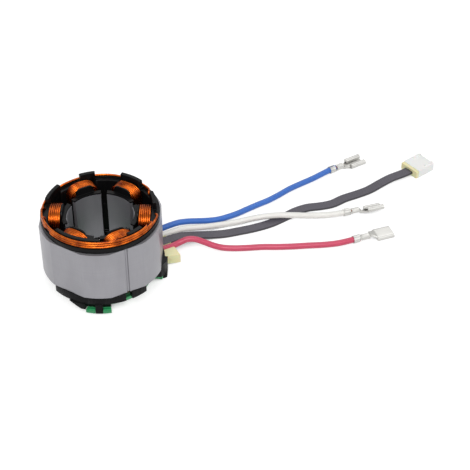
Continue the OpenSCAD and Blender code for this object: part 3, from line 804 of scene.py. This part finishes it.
def rounded_box(half_w, half_h, corner, share):
    """The place at a share of the way round a rounded box, from the middle of its lower side."""
    w, h = half_w - corner, half_h - corner
    quarter = math.pi * corner / 2
    sides = [w, quarter, 2 * h, quarter, 2 * w, quarter, 2 * h, quarter, w]
    s = share * sum(sides)
    corners = {1: (w, -h, -90), 3: (w, h, 0), 5: (-w, h, 90), 7: (-w, -h, 180)}
    straight = {0: (0, -half_h, 1, 0), 2: (half_w, -h, 0, 1), 4: (w, half_h, -1, 0),
                6: (-half_w, h, 0, -1), 8: (-w, -half_h, 1, 0)}
    for i, length in enumerate(sides):
        if s <= length or i == len(sides) - 1:
            break
        s -= length
    if i in straight:
        y, z, dy, dz = straight[i]
        return y + s * dy, z + s * dz
    y, z, start = corners[i]
    a = math.radians(start) + s / corner
    return y + corner * math.cos(a), z + corner * math.sin(a)


def coil_line(rng):
    """One wire wound in layers, each turn stepping to the next place under the tooth."""
    places = []
    for layer in range(LAYERS):
        order = range(TURNS) if layer % 2 == 0 else range(TURNS - 1, -1, -1)
        places += [(turn, layer) for turn in order]
    line = []
    for now, after in zip(places, places[1:] + places[-1:]):
        drift = rng.uniform(-TURN_DRIFT, TURN_DRIFT)
        for step in range(TURN_STEPS):
            share = step / TURN_STEPS
            move = min(1, max(0, (share - 1 + TURN_SHIFT) / TURN_SHIFT))
            move = move * move * (3 - 2 * move)
            turn = now[0] + (after[0] - now[0]) * move
            out = WIRE_D / 2 + WIRE_PITCH * (now[1] + (after[1] - now[1]) * move)
            bulge = TURN_BULGE * math.sin(2 * math.pi * share * TURN_WAVES + now[0] + 2 * now[1])
            y, z = rounded_box(WINDOW_HALF_W + out, WINDOW_HALF_H + out, BEND_R + out, share)
            line.append((COIL_R0 + WIRE_D / 2 + WIRE_PITCH * turn + drift, y, z + bulge))
    return line


def make_coils():
    """One wound wire on each tooth."""
    rng = random.Random(COIL_SEED)
    for tooth in range(TEETH):
        line = around_z(coil_line(rng), tooth * 360 / TEETH)
        name = "coil_%d" % (tooth + 1)
        wire_piece(name + "_turns", line, WIRE_D, WIRE_SIDES, "copper_enamel", [name])


make_coils()


# Crossover wires: first angle, last angle and row

LEDGE_H = 2.4
LEDGE_Z = STACK_TOP + LEDGE_H
LEDGE_CLEAR = 0.1
CROSSOVER_D = 1.0
CROSSOVER_R = 25.0
CROSSOVER_ROW = 1.1
CROSSOVER_STEP = 0.4
CROSSOVER_SIDES = 12
CROSSOVER_SEED = 3
CROSSOVERS = [(34, 212, 0), (216, 356, 0), (180, 340, 1), (198, 330, 2)]

# Both ends of a crossover wire from below: degrees beyond its angle, radius and share of the climb
CROSSOVER_END = [(1.2, 23.9, 0), (0.9, 24.0, 0.45), (-0.6, 24.4, 0.9)]
CROSSOVER_LEVEL_AFTER = 3.5
CROSSOVER_BETWEEN = 9
CROSSOVER_STRAY_R = (-0.02, 0.06)
CROSSOVER_STRAY_Z = (-0.05, 0.05)


def crossover_line(first, last, row, rng):
    """A wire round the castellated wall that passes down through the ledge at both ends."""
    low = LEDGE_Z - CROSSOVER_D
    high = LEDGE_Z + LEDGE_CLEAR + CROSSOVER_D / 2 + CROSSOVER_ROW * row
    end = [(beyond, r, low + share * (high - low)) for beyond, r, share in CROSSOVER_END]
    places = [(first - beyond, r, z) for beyond, r, z in end]
    count = max(4, int((last - first) / CROSSOVER_BETWEEN))
    for k in range(count + 1):
        a = first + CROSSOVER_LEVEL_AFTER + (last - first - 2 * CROSSOVER_LEVEL_AFTER) * k / count
        r = CROSSOVER_R + rng.uniform(*CROSSOVER_STRAY_R)
        z = high + rng.uniform(*CROSSOVER_STRAY_Z)
        places.append((a, r, z))
    places += [(last + beyond, r, z) for beyond, r, z in reversed(end)]
    return polar_line(places, CROSSOVER_STEP)


def make_crossovers():
    """The wires that link the coils."""
    rng = random.Random(CROSSOVER_SEED)
    for i, (first, last, row) in enumerate(CROSSOVERS):
        name = "crossover_wire_%d" % (i + 1)
        line = crossover_line(first, last, row, rng)
        wire_piece(name + "_run", line, CROSSOVER_D, CROSSOVER_SIDES, "copper_enamel", [name])


make_crossovers()


# Coil tails in black sleeves below the lower ring, as angle, radius and height; the black sleeves also serve
# as painted shade, closing the gap where the floor would show through the far slot

SLEEVE_D = 2.0
SLEEVE_STEP = 0.8
SLEEVE_SIDES = 12
SHADE_SLEEVES = [
    [(114, 21.6, -16.3), (110, 22.4, -16.2), (104, 23.0, -16.1), (94, 23.0, -16.1), (82, 23.0, -16.1),
     (72, 23.1, -16.5), (66, 22.9, -17.0)],
    [(134, 21.8, -17.2), (130, 22.0, -17.8), (122, 22.0, -18.2), (110, 22.0, -18.3), (102, 22.0, -18.4),
     (95.5, 22.4, -18.1), (88, 22.4, -18.1), (80, 22.1, -18.1), (74, 22.0, -18.1)],
]


def make_shade_sleeves():
    """The sleeved coil tails, which are both coil tails and painted shade in the gap below the far slot."""
    for i, places in enumerate(SHADE_SLEEVES):
        line = polar_line(places, SLEEVE_STEP)
        wire_piece("coil_tail_sleeve_%d" % (i + 1), line, SLEEVE_D, SLEEVE_SIDES, "black_nylon")


make_shade_sleeves()


# Moulded pieces with soft edges

softened("top_insulator_moulding", "top_insulator")
softened("bottom_insulator_moulding", "bottom_insulator")
softened("lead_clamp_moulding", "lead_clamp", CLAMP_EDGE_W)


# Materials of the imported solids, which show where no piece stands for them

for node, obj in nodes.items():
    obj.data.materials.clear()
    obj.data.materials.append(materials[slot_of[node]])


# Stage, in metres and watts; each lamp has a name, a place, a size and a power

FLOOR_HALF = 3.0
FLOOR_GREY = 0.8
SEEN_GREY = 0.45
SEEN_GLOW = 0.72
# The floor's painted shadow: how far the dimming reaches, and the openness at which the camera's glow is
# full
SHADOW_REACH = 0.06
SHADOW_OPEN = 0.22
SKY_STRENGTH = 0.2
LAMPS = [
    ("key_softbox", (-0.5, -0.45, 0.9), 0.6, 1.5),
    ("front_softbox", (0.05, -0.75, 0.95), 0.6, 8.2),
    ("fill_softbox", (0.8, -0.4, 0.6), 0.8, 2.3),
    ("top_softbox", (0.1, 0.6, 0.9), 0.7, 2.7),
]


def backdrop_rays(tree):
    """Share of rays that see the pale backdrop: the camera's, and those of gloss and glass."""
    path = tree.nodes.new("ShaderNodeLightPath")
    share = path.outputs["Is Camera Ray"]
    for kind in ("Is Glossy Ray", "Is Transmission Ray"):
        either = tree.nodes.new("ShaderNodeMath")
        either.operation = "MAXIMUM"
        tree.links.new(share, either.inputs[0])
        tree.links.new(path.outputs[kind], either.inputs[1])
        share = either.outputs[0]
    return share


def backdrop_mix(tree, lit, seen, surface):
    """Gives a surface one shader for the light and another one for the rays that see the backdrop."""
    mix = tree.nodes.new("ShaderNodeMixShader")
    tree.links.new(backdrop_rays(tree), mix.inputs[0])
    tree.links.new(lit.outputs[0], mix.inputs[1])
    tree.links.new(seen.outputs[0], mix.inputs[2])
    tree.links.new(mix.outputs[0], surface)


def diffuse(tree, value):
    """A matt grey shader."""
    node = tree.nodes.new("ShaderNodeBsdfDiffuse")
    node.inputs["Color"].default_value = (value, value, value, 1)
    return node


def floor_material():
    """A matt grey for the light, and for the camera a white glow with a painted shadow that dims it close to
    the object.
    """
    material = bpy.data.materials.new("floor")
    material.use_nodes = True
    tree = material.node_tree
    tree.nodes.clear()
    # Painted shadow: the camera's glow is dimmed where the floor is hemmed in by the object
    shade = tree.nodes.new("ShaderNodeAmbientOcclusion")
    shade.inputs["Distance"].default_value = SHADOW_REACH
    painted_shadow_glow = tree.nodes.new("ShaderNodeMapRange")
    painted_shadow_glow.inputs["From Max"].default_value = SHADOW_OPEN
    painted_shadow_glow.inputs["To Max"].default_value = SEEN_GLOW
    tree.links.new(shade.outputs["AO"], painted_shadow_glow.inputs["Value"])
    glow = tree.nodes.new("ShaderNodeEmission")
    tree.links.new(painted_shadow_glow.outputs[0], glow.inputs["Strength"])
    seen = tree.nodes.new("ShaderNodeAddShader")
    tree.links.new(glow.outputs[0], seen.inputs[0])
    tree.links.new(diffuse(tree, SEEN_GREY).outputs[0], seen.inputs[1])
    out = tree.nodes.new("ShaderNodeOutputMaterial")
    backdrop_mix(tree, diffuse(tree, FLOOR_GREY), seen, out.inputs["Surface"])
    return material


def make_floor():
    """The surface that the stator stands on."""
    corners = [(-1, -1), (1, -1), (1, 1), (-1, 1)]
    mesh = bpy.data.meshes.new("floor")
    mesh.from_pydata([(x * FLOOR_HALF, y * FLOOR_HALF, REST_Z * MM) for x, y in corners], [], [(0, 1, 2, 3)])
    mesh.materials.append(floor_material())
    obj = linked("floor", mesh)


def make_world():
    """Pale surroundings for the camera, and a dimmer sky for the light."""
    world = bpy.data.worlds.new("studio")
    bpy.context.scene.world = world
    world.use_nodes = True
    tree = world.node_tree
    sky = tree.nodes["Background"]
    sky.inputs["Color"].default_value = (1, 1, 1, 1)
    sky.inputs["Strength"].default_value = SKY_STRENGTH
    pale = tree.nodes.new("ShaderNodeBackground")
    pale.inputs["Strength"].default_value = 1.0
    backdrop_mix(tree, sky, pale, tree.nodes["World Output"].inputs["Surface"])


def make_lamp(name, place, size, power):
    """A square softbox that faces the stator."""
    data = bpy.data.lights.new(name, "AREA")
    data.size = size
    data.energy = power
    obj = linked(name, data)
    obj.location = place
    obj.rotation_euler = (-Vector(place)).to_track_quat("-Z", "Y").to_euler()


make_floor()
make_world()
for lamp in LAMPS:
    make_lamp(*lamp)

bpy.context.scene.view_settings.view_transform = "Standard"
